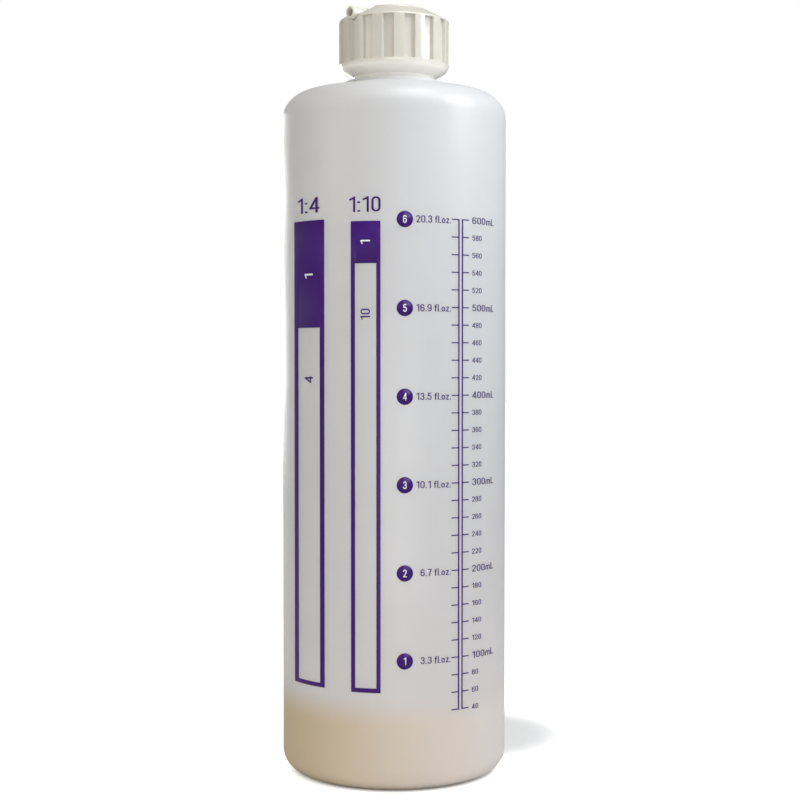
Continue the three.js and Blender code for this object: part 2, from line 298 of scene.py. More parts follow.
def natural_plastic():
    material = plastic(
        "natural polyethylene",
        colour=(0.93, 0.93, 0.94),
        cloud_colour=(0.905, 0.905, 0.912),
        cloud_size=38.0,
        roughness=(0.32, 0.42),
        peel_size=900.0,
        peel_depth=0.02,
    )
    nodes, links = material.node_tree.nodes, material.node_tree.links
    shader = nodes["Principled BSDF"]
    shader.inputs["IOR"].default_value = 1.5
    shader.inputs["Subsurface Weight"].default_value = 0.35
    shader.inputs["Subsurface Radius"].default_value = (1.0, 0.95, 0.85)
    shader.inputs["Subsurface Scale"].default_value = 6.0 * MM
    shader.inputs["Transmission Weight"].default_value = 0.3
    height, split = height_of(material)
    # From the bottle's left to its right, for the foot's painted shade and painted light.
    side = nodes.new("ShaderNodeMapRange")
    side.inputs["From Min"].default_value = -BODY_HALF * MM
    side.inputs["From Max"].default_value = BODY_HALF * MM
    links.new(split.outputs["X"], side.inputs["Value"])
    foot = nodes.new("ShaderNodeMix")
    foot.data_type = "RGBA"
    foot.inputs[MIX_A].default_value = FOOT_LEFT_PAINTED_SHADE
    foot.inputs[MIX_B].default_value = FOOT_RIGHT_PAINTED_LIGHT
    links.new(side.outputs["Result"], foot.inputs["Factor"])
    body = height_ramp(
        material,
        height,
        [
            (BEIGE_TOP, (0.84, 0.805, 0.785)),
            (70.0, (0.81, 0.795, 0.79)),
            (110.0, (0.8, 0.8, 0.8)),
            (TONE_LINE - 1.5, (0.79, 0.79, 0.8)),
            (TONE_LINE, (0.82, 0.82, 0.82)),
        ],
    )
    share = height_ramp(
        material,
        height,
        [(BEIGE_FOOT, (0.0, 0.0, 0.0)), (BEIGE_TOP, (1.0, 1.0, 1.0))],
    )
    tint = nodes.new("ShaderNodeMix")
    tint.data_type = "RGBA"
    links.new(share.outputs["Color"], tint.inputs["Factor"])
    links.new(foot.outputs[MIX_RESULT], tint.inputs[MIX_A])
    links.new(body.outputs["Color"], tint.inputs[MIX_B])
    tinted(material, tint.outputs[MIX_RESULT])
    return material


NATURAL = natural_plastic()
print("material:", NATURAL.name)

# %% [markdown]
# ## The bottle
# Blow moulding presses a hot tube against a two-part mould. That gives one shell of nearly
# even wall, with soft corners, a push-up in the base and a fine parting line up the front
# and back. The outline runs from the middle of the base up the outside, over the lip and
# down the inside, so that one spin gives the whole wall. The radius is a hair less than the
# CAD body's, which leaves room for the print.

# %% Sizes of the bottle
INK_PROUD = 0.05
BODY_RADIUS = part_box("bottle")[1].x / MM - INK_PROUD
WALL = 1.2
HEEL_ROUND = 6.8
SHOULDER_ROUND = 8.5
SHOULDER_SLOPE = math.tan(math.radians(11.2))
SHOULDER_EDGE = 214.68
RING_RADIUS = 16.4
RING_TOP = 219.523
NECK_RADIUS = 10.9
NECK_BORE = 9.0
NECK_TOP = 235.123
STEP_RADIUS = 26.4
DOME_RADIUS = 25.5
DOME_FOOT = 0.9
DOME_TOP = 2.6
BOTTLE_STEPS = 240
print("bottle radius", round(BODY_RADIUS, 3), "mm")


def shoulder(radius, sunk=0.0):
    """Height of the shoulder's slope at a radius, or of the wall's inner side under it."""
    rise = (BODY_RADIUS - radius) * SHOULDER_SLOPE
    return SHOULDER_EDGE + rise - sunk * math.hypot(1.0, SHOULDER_SLOPE)


# %% The shell
def bottle_outline():
    inner = BODY_RADIUS - WALL
    outside = [
        (0.0, DOME_TOP),
        (DOME_RADIUS / 2.0, DOME_TOP, 180.0),
        (DOME_RADIUS, DOME_FOOT, 0.5),
        (STEP_RADIUS, 0.0, 0.5),
        (BODY_RADIUS, 0.0, HEEL_ROUND),
        (BODY_RADIUS, shoulder(BODY_RADIUS), SHOULDER_ROUND),
        (RING_RADIUS, shoulder(RING_RADIUS), 0.35),
        (RING_RADIUS, RING_TOP, 0.45),
        (NECK_RADIUS, RING_TOP, 0.6),
        (NECK_RADIUS, NECK_TOP, 0.5),
    ]
    inside = [
        (NECK_BORE, NECK_TOP, 0.35),
        (NECK_BORE, shoulder(NECK_BORE, WALL), 2.4),
        (inner, shoulder(inner, WALL), SHOULDER_ROUND - WALL),
        (inner, WALL, HEEL_ROUND - WALL),
        (STEP_RADIUS, WALL, 0.5),
        (DOME_RADIUS, DOME_FOOT + WALL, 0.5),
        (DOME_RADIUS / 2.0, DOME_TOP + WALL, 180.0),
        (0.0, DOME_TOP + WALL),
    ]
    return outline(outside + inside, segments=10)


shell = turned(bottle_outline(), BOTTLE_STEPS)
print("shell:", len(shell.faces), "faces")

# %% [markdown]
# The two halves of the mould leave a parting line. Cuts beside the front and the back
# meridian keep it and its shading narrow, and the middle is lifted by a hair. The same
# halves pinch the tube shut under the base, so the push-up gets a short scar.

# %% The parting line
PARTING_ANGLE = math.radians(1.9)
PARTING_HALF_WIDTH = 0.16
PARTING_MARGIN = 0.28
PARTING_PROUD = 0.02
SCAR_HALF_LENGTH = 15.0
SCAR_DEPTH = 0.35


def parting_line(bm):
    for side in (-PARTING_MARGIN, -PARTING_HALF_WIDTH, PARTING_HALF_WIDTH, PARTING_MARGIN):
        bmesh.ops.bisect_plane(
            bm,
            geom=bm.verts[:] + bm.edges[:] + bm.faces[:],
            dist=1e-5,
            plane_co=(side, 0.0, 0.0),
            plane_no=(1.0, 0.0, 0.0),
        )
    bm.normal_update()
    for vert in bm.verts:
        radial = Vector((vert.co.x, vert.co.y, 0.0))
        if abs(vert.co.x) > 1e-3 or radial.length < 1e-3:
            continue
        outward = vert.normal.dot(radial.normalized()) + vert.normal.z
        if vert.co.z > 2.0 and outward > 0.2 and radial.length > NECK_RADIUS - 0.1:
            vert.co += vert.normal * PARTING_PROUD
        if vert.co.z < DOME_TOP + 0.5 and vert.normal.z < -0.5 and radial.length < SCAR_HALF_LENGTH:
            vert.co.z -= SCAR_DEPTH
    turn = Matrix.Rotation(PARTING_ANGLE, 3, "Z")
    bmesh.ops.rotate(bm, verts=bm.verts, cent=(0, 0, 0), matrix=turn)


parting_line(shell)
bottle = made(shell, "bottle_shell", NATURAL)
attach(bottle, "bottle")
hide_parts("bottle")

# %% [markdown]
# ## Screw threads
# The thread on the neck is a ridge that climbs 3.175 mm a turn. It could be a curve with a
# bevel profile, but a spin that rises while it turns keeps the ridge's section exact. The
# ridge starts as one face, and its ends then sink into the neck over a quarter turn.

# %% A helper for thread ridges
PITCH = 3.175
THREAD_TURNS = 1.5
THREAD_STEPS = 72
THREAD_FOOT = 228.16
RUN_OUT = math.radians(80.0)
LOWEST_SHARE = 0.02


def thread(root, crest, base_half, crest_half, start_angle, start_height):
    """A closed ridge from the root radius to the crest radius, climbing counter-clockwise."""
    bm = bmesh.new()
    section = [(root, -base_half), (crest, -crest_half), (crest, crest_half), (root, base_half)]
    face = bm.faces.new([bm.verts.new((0.0, -radius, height)) for radius, height in section])
    steps = round(THREAD_TURNS * THREAD_STEPS)
    bmesh.ops.spin(
        bm,
        geom=[face],
        cent=(0.0, 0.0, 0.0),
        axis=(0.0, 0.0, 1.0),
        dvec=(0.0, 0.0, PITCH / THREAD_STEPS),
        angle=THREAD_TURNS * 2.0 * math.pi,
        steps=steps,
        use_merge=False,
    )
    bmesh.ops.recalc_face_normals(bm, faces=bm.faces)
    for vert in bm.verts:
        sink_run_out(vert, root, base_half)
    turn = Matrix.Rotation(start_angle, 4, "Z")
    bmesh.ops.transform(bm, verts=bm.verts, matrix=Matrix.Translation((0, 0, start_height)) @ turn)
    return bm


def sink_run_out(vert, root, base_half):
    """Lowers the crest towards the root near both ends of the ridge."""
    full = THREAD_TURNS * 2.0 * math.pi
    angle = math.atan2(vert.co.x, -vert.co.y) % (2.0 * math.pi)
    rough = vert.co.z / PITCH * 2.0 * math.pi
    along = angle + 2.0 * math.pi * round((rough - angle) / (2.0 * math.pi))
    share = min(1.0, max(0.0, min(along, full - along) / RUN_OUT))
    share = math.sin(share * math.pi / 2.0)
    radius = math.hypot(vert.co.x, vert.co.y)
    kept = root + (radius - root) * max(share, LOWEST_SHARE)
    vert.co.x *= kept / radius
    vert.co.y *= kept / radius


# %% The thread on the neck
neck_thread = made(
    thread(
        root=NECK_RADIUS - 0.1,
        crest=11.95,
        base_half=1.1,
        crest_half=0.45,
        start_angle=0.0,
        start_height=THREAD_FOOT,
    ),
    "neck_thread",
    NATURAL,
)
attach(neck_thread, "bottle")

# %% [markdown]
# ## White plastic for the closure
# The cap and its spout are injection moulded from white pigmented plastic. They are glossier than
# the bottle, slightly warm, and a little light enters their thin edges. The cap's tapered underside
# below the flutes is a lighter tone than the rest: painted light that stands in for the light
# bounced up off the shoulder.

# %% The closure's materials
# Below the first height the underside keeps the full colour, and above the second the closure takes
# its tone, so the lighter underside is painted light.
PAINTED_LIGHT_FULL_BELOW = 223.6
PAINTED_LIGHT_GONE_ABOVE = 225.4
CLOSURE_TONE = (0.655, 0.645, 0.615)


def closure_plastic(name, colour, cloud_colour):
    material = plastic(
        name,
        colour=colour,
        cloud_colour=cloud_colour,
        cloud_size=140.0,
        roughness=(0.12, 0.2),
        peel_size=1400.0,
        peel_depth=0.008,
    )
    height, _ = height_of(material)
    # The lighter underside is painted light from the shoulder.
    tone = height_ramp(material, height, [(PAINTED_LIGHT_FULL_BELOW, (1.0, 1.0, 1.0)), (PAINTED_LIGHT_GONE_ABOVE, CLOSURE_TONE)])
    tinted(material, tone.outputs["Color"])
    shader = material.node_tree.nodes["Principled BSDF"]
    shader.inputs["IOR"].default_value = 1.5
    shader.inputs["Subsurface Weight"].default_value = 0.12
    shader.inputs["Subsurface Radius"].default_value = (1.0, 0.9, 0.75)
    shader.inputs["Subsurface Scale"].default_value = 1.2 * MM
    return material


CAP_WHITE = closure_plastic("cap white", (0.855, 0.84, 0.785), (0.83, 0.812, 0.745))
SPOUT_WHITE = closure_plastic("spout white", (0.96, 0.945, 0.9), (0.93, 0.915, 0.86))
print("materials:", CAP_WHITE.name, "and", SPOUT_WHITE.name)

# %% [markdown]
# ## The cap
# One moulding holds the skirt with 16 finger flutes, the tapered underside, the crown and
# the socket of the spout. The outline is spun in steps that fall on the edges of the
# flutes. An inset then sinks each flute straight into the skirt, as the mould's ribs do, so
# no cutter is needed for them.

# %% Sizes of the cap
SEAT = 236.523
CAP_BORE = 12.25
CAP_RADIUS = 17.55
COLLAR_RADIUS = 13.1
CAP_FOOT = 219.923
TAPER_FOOT = 221.223
TAPER_TOP = 223.69
FLUTES_FOOT = 225.15
FLUTES_TOP = 238.653
RIM_TOP = 239.153
CROWN_RADIUS = 10.9
CROWN_STEP = 0.45
CROWN_TOP = 242.753
PLUG_RADIUS = 4.7
PLUG_FOOT = 235.423
FLUTE_COUNT = 16
FLUTE_DEPTH = 1.0
FLUTE_SLANT = 0.25
FLUTE_SOFTNESS = 0.14
STEPS_PER_FLUTE = 12
FIRST_LAND = 5.625


def cap_outline():
    return outline(
        [
            (0.0, PLUG_FOOT),
            (PLUG_RADIUS, PLUG_FOOT, 0.4),
            (PLUG_RADIUS, SEAT, 0.3),
            (CAP_BORE, SEAT, 0.4),
            (CAP_BORE, CAP_FOOT, 0.3),
            (COLLAR_RADIUS, CAP_FOOT, 0.25),
            (COLLAR_RADIUS, TAPER_FOOT, 0.4),
            (CAP_RADIUS, TAPER_TOP, 2.4),
            (CAP_RADIUS, FLUTES_FOOT),
            (CAP_RADIUS, FLUTES_TOP),
            (CAP_RADIUS, RIM_TOP, 0.75),
            (CROWN_RADIUS + 0.15, CROWN_TOP - CROWN_STEP, 0.15),
            (CROWN_RADIUS, CROWN_TOP, 0.25),
            (0.0, CROWN_TOP),
        ],
        segments=4,
    )


cap_body = turned(cap_outline(), FLUTE_COUNT * STEPS_PER_FLUTE)
print("cap before its flutes:", len(cap_body.faces), "faces")


# %% The flutes
def in_flute(face):
    middle = face.calc_center_median()
    if not FLUTES_FOOT < middle.z < FLUTES_TOP:
        return False
    if math.hypot(middle.x, middle.y) < CAP_RADIUS - 0.1:
        return False
    pitch = 360.0 / FLUTE_COUNT
    angle = (math.degrees(math.atan2(middle.x, -middle.y)) - FIRST_LAND) % pitch
    return pitch / 4.0 < angle < pitch * 3.0 / 4.0


def sink_flutes(bm):
    bmesh.ops.inset_region(
        bm,
        faces=[face for face in bm.faces if in_flute(face)],
        thickness=FLUTE_SLANT,
        depth=-FLUTE_DEPTH,
        use_even_offset=True,
        use_boundary=True,
    )
    edges = [edge for edge in bm.edges if edge.is_manifold and flute_edge(edge)]
    bmesh.ops.bevel(
        bm,
        geom=edges,
        offset=FLUTE_SOFTNESS,
        offset_type="OFFSET",
        affect="EDGES",
        segments=3,
        profile=0.5,
        material=-1,
        clamp_overlap=True,
    )


def flute_edge(edge):
    """True for the sharp edges round and inside a flute."""
    middle = (edge.verts[0].co + edge.verts[1].co) / 2.0
    inside_band = FLUTES_FOOT - 0.05 < middle.z < FLUTES_TOP + 0.05
    outer = math.hypot(middle.x, middle.y) > CAP_RADIUS - FLUTE_DEPTH - 0.2
    return inside_band and outer and edge.calc_face_angle() > math.radians(35.0)


sink_flutes(cap_body)
print("cap with its flutes:", len(cap_body.faces), "faces")

# %% [markdown]
# The spout lies in a channel that runs from the middle of the crown over the rim at the
# front left. Its barrel turns in a round socket across the channel, above a port to the
# bottle. These three are holes in a solid, so closed cutters and exact booleans make them.

# %% Helpers for cutting
SPOUT_TURN = math.radians(-46.2)
AXIS_HEIGHT = 239.823


def placed(bm):
    """Turns cutters that lie along the front direction to the spout's direction."""
    turn = Matrix.Rotation(SPOUT_TURN, 4, "Z")
    bmesh.ops.transform(bm, verts=bm.verts, matrix=Matrix.Translation((0, 0, AXIS_HEIGHT)) @ turn)
    return bm


def rod(bm, radius, start, end, segments):
    """A closed cylinder between two points, added to a bmesh."""
    start, end = Vector(start), Vector(end)
    direction = end - start
    spin = direction.to_track_quat("Z", "Y").to_matrix().to_4x4()
    return bmesh.ops.create_cone(
        bm,
        cap_ends=True,
        segments=segments,
        radius1=radius,
        radius2=radius,
        depth=direction.length,
        matrix=Matrix.Translation((start + end) / 2.0) @ spin,
    )


def cut(piece, cutter, operation="DIFFERENCE"):
    """Applies an exact boolean and removes the cutter."""
    boolean = piece.modifiers.new("cut", "BOOLEAN")
    boolean.solver = "EXACT"
    boolean.operation = operation
    boolean.object = cutter
    apply_modifiers(piece)
    bpy.data.objects.remove(cutter)


def apply_modifiers(piece):
    graph = bpy.context.evaluated_depsgraph_get()
    finished = bpy.data.meshes.new_from_object(piece.evaluated_get(graph))
    piece.modifiers.clear()
    piece.data = finished


# %% The channel, the socket and the port
CHANNEL_RADIUS = 2.3
SOCKET_RADIUS = 3.4
SOCKET_HALF = 3.7
BORE_RADIUS = 1.3
PORT_DEPTH = 6.0
OPEN_TOP = 4.0
OVERSHOOT = 2.0


def channel_cutter():
    """A round-bottomed trough along -Y, open to the top."""
    bm = bmesh.new()
    bmesh.ops.create_circle(bm, cap_ends=True, radius=CHANNEL_RADIUS, segments=48)
    upright = Matrix.Rotation(math.pi / 2.0, 3, "X")
    bmesh.ops.rotate(bm, verts=bm.verts, cent=(0, 0, 0), matrix=upright)
    for vert in bm.verts:
        if vert.co.z > 1e-4:
            vert.co.z += OPEN_TOP
    bmesh.ops.translate(bm, verts=bm.verts, vec=(0.0, CHANNEL_RADIUS, 0.0))
    grown = bmesh.ops.extrude_face_region(bm, geom=bm.faces[:], use_keep_orig=True)
    moved = [item for item in grown["geom"] if isinstance(item, bmesh.types.BMVert)]
    run = (0.0, -CAP_RADIUS - CHANNEL_RADIUS - OVERSHOOT, 0.0)
    bmesh.ops.translate(bm, verts=moved, vec=run)
    bmesh.ops.recalc_face_normals(bm, faces=bm.faces)
    return bm


def socket_cutter():
    bm = bmesh.new()
    rod(bm, SOCKET_RADIUS, (-SOCKET_HALF, 0.0, 0.0), (SOCKET_HALF, 0.0, 0.0), 64)
    return bm


def port_cutter():
    bm = bmesh.new()
    rod(bm, BORE_RADIUS, (0.0, 0.0, -PORT_DEPTH), (0.0, 0.0, 0.0), 40)
    return bm


cap = made(cap_body, "cap_moulding", CAP_WHITE)
for cutter in (channel_cutter(), socket_cutter(), port_cutter()):
    cut(cap, made(placed(cutter), "cutter", CAP_WHITE))
print("cap after the cuts:", len(cap.data.polygons), "faces")


# %% [markdown]
# The cuts leave knife edges, which no moulding has. A narrow bevel on the sharp edges that
# the cuts made catches the light as the real edges do.

# %% The edges of the cuts
KNIFE_ANGLE = math.radians(38.0)


def soften(piece, width, segments):
    """Rounds every edge that is sharper than the knife angle."""
    bevel = piece.modifiers.new("soften", "BEVEL")
    bevel.width = width * MM
    bevel.segments = segments
    bevel.limit_method = "ANGLE"
    bevel.angle_limit = KNIFE_ANGLE
    apply_modifiers(piece)
    piece.data.shade_smooth()
    piece.data.set_sharp_from_angle(angle=SHARP_ANGLE)
    print(piece.name, "softened:", len(piece.data.polygons), "faces")


soften(cap, 0.1, segments=2)
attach(cap, "cap")
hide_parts("cap")

# %% The thread inside the cap
cap_thread = made(
    thread(
        root=CAP_BORE + 0.1,
        crest=11.2,
        base_half=0.85,
        crest_half=0.3,
        start_angle=0.0,
        start_height=THREAD_FOOT - PITCH / 2.0,
    ),
    "cap_thread",
    CAP_WHITE,
)
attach(cap_thread, "cap")

# %% [markdown]
# ## The spout
# The spout is one T-shaped moulding: a tube that tapers to its tip, and a barrel across its
# root that turns in the socket. Two turned solids are joined, the bore is cut right through,
# and a soft edge goes round the joint and the mouth.

# %% The spout's two solids
BARREL_RADIUS = 3.2
BARREL_HALF = 3.5
TUBE_ROOT = 2.0
TUBE_TIP = 1.88
SPOUT_REACH = 19.1


def laid_along(bm, direction):
    """Turns a solid that was spun about Z so that its axis points another way."""
    matrix = Vector(direction).to_track_quat("Z", "Y").to_matrix()
    bmesh.ops.rotate(bm, verts=bm.verts, cent=(0, 0, 0), matrix=matrix)
    return bm


def tube_solid():
    corners = [(0.0, 0.0), (TUBE_ROOT, 0.0), (TUBE_TIP, SPOUT_REACH, 0.28), (0.0, SPOUT_REACH)]
    return laid_along(turned(outline(corners, segments=4), 56), (0.0, -1.0, 0.0))


def barrel_solid():
    corners = [
        (0.0, -BARREL_HALF),
        (BARREL_RADIUS, -BARREL_HALF, 0.4),
        (BARREL_RADIUS, BARREL_HALF, 0.4),
        (0.0, BARREL_HALF),
    ]
    return laid_along(turned(outline(corners, segments=3), 72), (1.0, 0.0, 0.0))


def bore_cutter():
    bm = bmesh.new()
    rod(bm, BORE_RADIUS, (0.0, -SPOUT_REACH - 1.0, 0.0), (0.0, BARREL_RADIUS + 1.0, 0.0), 48)
    return bm


spout = made(placed(barrel_solid()), "spout_moulding", SPOUT_WHITE)
cut(spout, made(placed(tube_solid()), "tube", SPOUT_WHITE), "UNION")
cut(spout, made(placed(bore_cutter()), "bore", SPOUT_WHITE))
soften(spout, 0.12, segments=3)
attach(spout, "spout")
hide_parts("spout")

# %% [markdown]
# ## The seal
# A soft ring lies between the lip and the cap. It is punched from foamed sheet, so it has
# square outer edges that are barely rounded, a matt face, and a shallow groove where the lip
# presses into it.

# %% The seal ring
SEAL_FOOT = 235.223
SEAL_TOP = 236.423
SEAL_OUTER = 11.8
SEAL_INNER = 7.4
SEAL_EDGE = 0.15
GROOVE_HALF = 0.7
GROOVE_FLOOR_HALF = 0.5
GROOVE_DEPTH = 0.08
GROOVE_EDGE = 0.1

FOAM = plastic(
    "foamed seal",
    colour=(0.76, 0.75, 0.71),
    cloud_colour=(0.72, 0.71, 0.66),
    cloud_size=500.0,
    roughness=(0.55, 0.7),
    peel_size=3500.0,
    peel_depth=0.03,
)


def seal_outline():
    lip_middle = (NECK_BORE + NECK_RADIUS) / 2.0
    return outline(
        [
            (SEAL_INNER, SEAL_FOOT, SEAL_EDGE),
            (lip_middle - GROOVE_HALF, SEAL_FOOT, GROOVE_EDGE),
            (lip_middle - GROOVE_FLOOR_HALF, SEAL_FOOT + GROOVE_DEPTH, GROOVE_EDGE),
            (lip_middle + GROOVE_FLOOR_HALF, SEAL_FOOT + GROOVE_DEPTH, GROOVE_EDGE),
            (lip_middle + GROOVE_HALF, SEAL_FOOT, GROOVE_EDGE),
            (SEAL_OUTER, SEAL_FOOT, SEAL_EDGE),
            (SEAL_OUTER, SEAL_TOP, SEAL_EDGE),
            (SEAL_INNER, SEAL_TOP, SEAL_EDGE),
        ],
        segments=3,
        closed=True,
    )


seal = made(turned(seal_outline(), 120), "seal_ring", FOAM)
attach(seal, "seal")
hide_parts("seal_washer")

# %% [markdown]
# ## The print
# The scale is screen printed in one purple ink. A picture of it would be a texture, and a
# texture would be soft up close. Here every bar, tick and figure is a flat face in a drawing
# of the unrolled bottle, where x is the arc from the front and y is the height. The drawing
# is cut into narrow strips, wrapped round the bottle and given the thickness of ink.

# %% Helpers for drawing on the unrolled bottle
def add_rectangle(sheet, left, right, bottom, top):
    size = Matrix.Diagonal(((right - left) / 2.0, (top - bottom) / 2.0, 1.0, 1.0))
    middle = Matrix.Translation(((left + right) / 2.0, (bottom + top) / 2.0, 0.0))
    return bmesh.ops.create_grid(sheet, x_segments=1, y_segments=1, size=1.0, matrix=middle @ size)


def add_disc(sheet, x, y, radius):
    bmesh.ops.create_circle(
        sheet, cap_ends=True, radius=radius, segments=48, matrix=Matrix.Translation((x, y, 0.0))
    )


def knit(sheet, across, along):
    """Splits touching shapes at each other's edges and merges them into one sheet."""
    cuts = [((x, 0.0, 0.0), (1.0, 0.0, 0.0)) for x in across]
    cuts += [((0.0, y, 0.0), (0.0, 1.0, 0.0)) for y in along]
    for place, normal in cuts:
        whole = sheet.verts[:] + sheet.edges[:] + sheet.faces[:]
        bmesh.ops.bisect_plane(sheet, geom=whole, dist=1e-4, plane_co=place, plane_no=normal)
    bmesh.ops.remove_doubles(sheet, verts=sheet.verts, dist=1e-3)


# %% [markdown]
# The figures are drawn with a flat pen, in the plain narrow style of a measuring scale. A
# stroke starts at a point with a heading, and each move is either a straight length or an
# arc with a radius and an angle, to the left where it is positive. One operator does both:
# a spin with no angle is a straight run. All figures are ten units tall.

# %% The figures
PEN = 1.15
LETTER_GAP = 1.0
GLYPHS = {
    # figure: (width, strokes of (x, y, heading, moves))
    "0": (5.0, [(0.7, 2.5, 90, [5.0, (1.8, -180), 5.0, (1.8, -180)])]),
    "1": (3.9, [(3.1, 0.0, 90, [10.0]), (0.5, 7.9, 28, [2.9])]),
    "2": (5.0, [(0.7, 7.1, 90, [0.4, (1.8, -180), 0.3, (4.0, -33), 5.0]), (0.2, 0.7, 0, [4.7])]),
    "3": (
        5.1,
        [
            (0.8, 7.3, 90, [0.25, (1.75, -180), 0.55, (1.75, -90), 0.6]),
            (1.95, 5.25, 0, [0.55, (1.9, -90), 0.75, (1.9, -180), 0.4]),
        ],
    ),
    "4": (5.3, [(3.8, 0.0, 90, [10.0]), (0.1, 2.9, 0, [5.1]), (0.7, 2.9, 65.5, [7.2])]),
    "5": (
        5.1,
        [
            (0.75, 9.3, 0, [3.9]),
            (1.2, 9.3, -93, [4.2]),
            (0.95, 5.17, 60, [(1.85, -150), 1.7, (1.85, -180), 0.3]),
        ],
    ),
    "6": (5.0, [(4.3, 7.2, 90, [0.2, (1.82, 180), 4.9, (1.85, 180), 1.4, (1.85, 180)])]),
    "7": (5.0, [(0.3, 9.3, 0, [4.5]), (4.3, 9.3, -104.5, [9.6])]),
    "8": (
        5.1,
        [
            (0.9, 6.9, 90, [0.75, (1.65, -180), 0.75, (1.65, -180)]),
            (0.7, 2.55, 90, [0.85, (1.85, -180), 0.85, (1.85, -180)]),
        ],
    ),
    "9": (5.0, [(0.7, 2.8, -90, [0.2, (1.82, 180), 4.9, (1.85, 180), 1.4, (1.85, 180)])]),
    ":": (1.4, [(0.0, 0.7, 0, [1.4]), (0.0, 6.3, 0, [1.4])]),
    ".": (1.4, [(0.0, 0.7, 0, [1.4])]),
    " ": (1.4, []),
    "f": (2.9, [(1.3, 0.0, 90, [8.0, (1.3, -90), 0.3]), (0.0, 6.5, 0, [2.8])]),
    "l": (1.4, [(0.7, 0.0, 90, [10.0])]),
    "o": (4.5, [(0.7, 2.25, 90, [2.5, (1.55, -180), 2.5, (1.55, -180)])]),
    "z": (4.0, [(0.2, 6.3, 0, [3.6]), (0.1, 0.7, 0, [3.8]), (0.8, 0.9, 63, [5.9])]),
    "m": (
        7.2,
        [
            (0.7, 0.0, 90, [5.0, (1.45, -180), 5.0]),
            (3.6, 5.0, 90, [(1.45, -180), 5.0]),
        ],
    ),
    "L": (4.6, [(0.7, 0.0, 90, [10.0]), (0.7, 0.7, 0, [3.8])]),
}
print("figures drawn:", len(GLYPHS))


# %% The pen
DEGREES_PER_STEP = 20.0


def draw_stroke(sheet, x, y, heading, moves):
    """Sweeps the flat pen's edge along the moves of one stroke."""
    position = Vector((x, y, 0.0))
    direction = Vector((math.cos(math.radians(heading)), math.sin(math.radians(heading)), 0.0))
    left = Vector((-direction.y, direction.x, 0.0))
    ends = [sheet.verts.new(position + left * side) for side in (PEN / 2.0, -PEN / 2.0)]
    edge = sheet.edges.new(ends)
    for move in moves:
        radius, degrees = move if isinstance(move, tuple) else (0.0, 0.0)
        run = Vector() if degrees else direction * move
        left = Vector((-direction.y, direction.x, 0.0))
        centre = position + left * math.copysign(radius, degrees)
        steps = max(1, round(abs(degrees) / DEGREES_PER_STEP))
        spun = bmesh.ops.spin(
            sheet,
            geom=[*edge.verts, edge],
            cent=centre,
            axis=(0.0, 0.0, 1.0),
            dvec=run / steps,
            angle=math.radians(degrees),
            steps=steps,
            use_merge=False,
        )
        edge = next(item for item in spun["geom_last"] if isinstance(item, bmesh.types.BMEdge))
        turn = Matrix.Rotation(math.radians(degrees), 3, "Z")
        position = centre + turn @ (position - centre) + run
        direction = turn @ direction


def add_words(sheet, words, left, right, bottom, top, upward=False):
    """Fits the words into a box of the drawing. Upward words read from the bottom to the top."""
    letters = bmesh.new()
    start = 0.0
    for figure in words:
        width, strokes = GLYPHS[figure]
        for x, y, heading, moves in strokes:
            draw_stroke(letters, start + x, y, heading, moves)
        start += width + LETTER_GAP
    if upward:
        quarter = Matrix.Rotation(math.pi / 2.0, 3, "Z")
        bmesh.ops.rotate(letters, verts=letters.verts, cent=(0, 0, 0), matrix=quarter)
    xs = [vert.co.x for vert in letters.verts]
    ys = [vert.co.y for vert in letters.verts]
    for vert in letters.verts:
        vert.co.x = left + (vert.co.x - min(xs)) / (max(xs) - min(xs)) * (right - left)
        vert.co.y = bottom + (vert.co.y - min(ys)) / (max(ys) - min(ys)) * (top - bottom)
    joined = bpy.data.meshes.new("joined")
    letters.to_mesh(joined)
    letters.free()
    sheet.from_mesh(joined)
    bpy.data.meshes.remove(joined)


# %% A helper that wraps a drawing round the bottle
STRIP = 1.0
INK_SUNK = 0.01
KNOCKOUT_PROUD = INK_PROUD + 0.02


def wrapped(sheet, name, material, proud):
    """Cuts the drawing into strips, bends it round the bottle and thickens it into ink."""
    bmesh.ops.remove_doubles(sheet, verts=sheet.verts, dist=1e-3)
    reach = math.ceil(max(abs(vert.co.x) for vert in sheet.verts))
    for index in range(-reach, reach + 1):
        bmesh.ops.bisect_plane(
            sheet,
            geom=sheet.verts[:] + sheet.edges[:] + sheet.faces[:],
            dist=1e-4,
            plane_co=(index * STRIP, 0.0, 0.0),
            plane_no=(1.0, 0.0, 0.0),
        )
    for vert in sheet.verts:
        angle = vert.co.x / BODY_RADIUS
        radius = BODY_RADIUS - INK_SUNK
        vert.co = (radius * math.sin(angle), -radius * math.cos(angle), vert.co.y)
    for face in sheet.faces:
        face.normal_update()
        if face.normal.dot(Vector((*face.calc_center_median().xy, 0.0))) < 0.0:
            face.normal_flip()
    print_piece = made(sheet, name, material)
    ink = print_piece.modifiers.new("ink", "SOLIDIFY")
    ink.thickness = (proud + INK_SUNK) * MM
    ink.offset = 1.0
    apply_modifiers(print_piece)
    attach(print_piece, "bottle")
    return print_piece


# %% [markdown]
# Screen ink is a thin satin coat. It follows the fine peel of the plastic below, and its
# colour is even apart from a faint drift where the squeegee laid it thinner.

# %% The inks
PURPLE = plastic(
    "purple ink",
    colour=(0.037, 0.002, 0.132),
    cloud_colour=(0.041, 0.004, 0.144),
    cloud_size=90.0,
    roughness=(0.34, 0.44),
    peel_size=900.0,
    peel_depth=0.012,
)
PURPLE.node_tree.nodes["Principled BSDF"].inputs["Specular IOR Level"].default_value = 0.25
KNOCKOUT = plastic(
    "bare plastic in the print",
    colour=(0.80, 0.80, 0.82),
    cloud_colour=(0.77, 0.77, 0.79),
    cloud_size=90.0,
    roughness=(0.34, 0.44),
    peel_size=900.0,
    peel_depth=0.012,
)
print("inks:", PURPLE.name, "and", KNOCKOUT.name)

# %% [markdown]
# ## Mixing bars
# Each bar shows a ratio: the filled top stands for one part and the hollow rest for the
# others, and each of the two holds its plain number of parts.

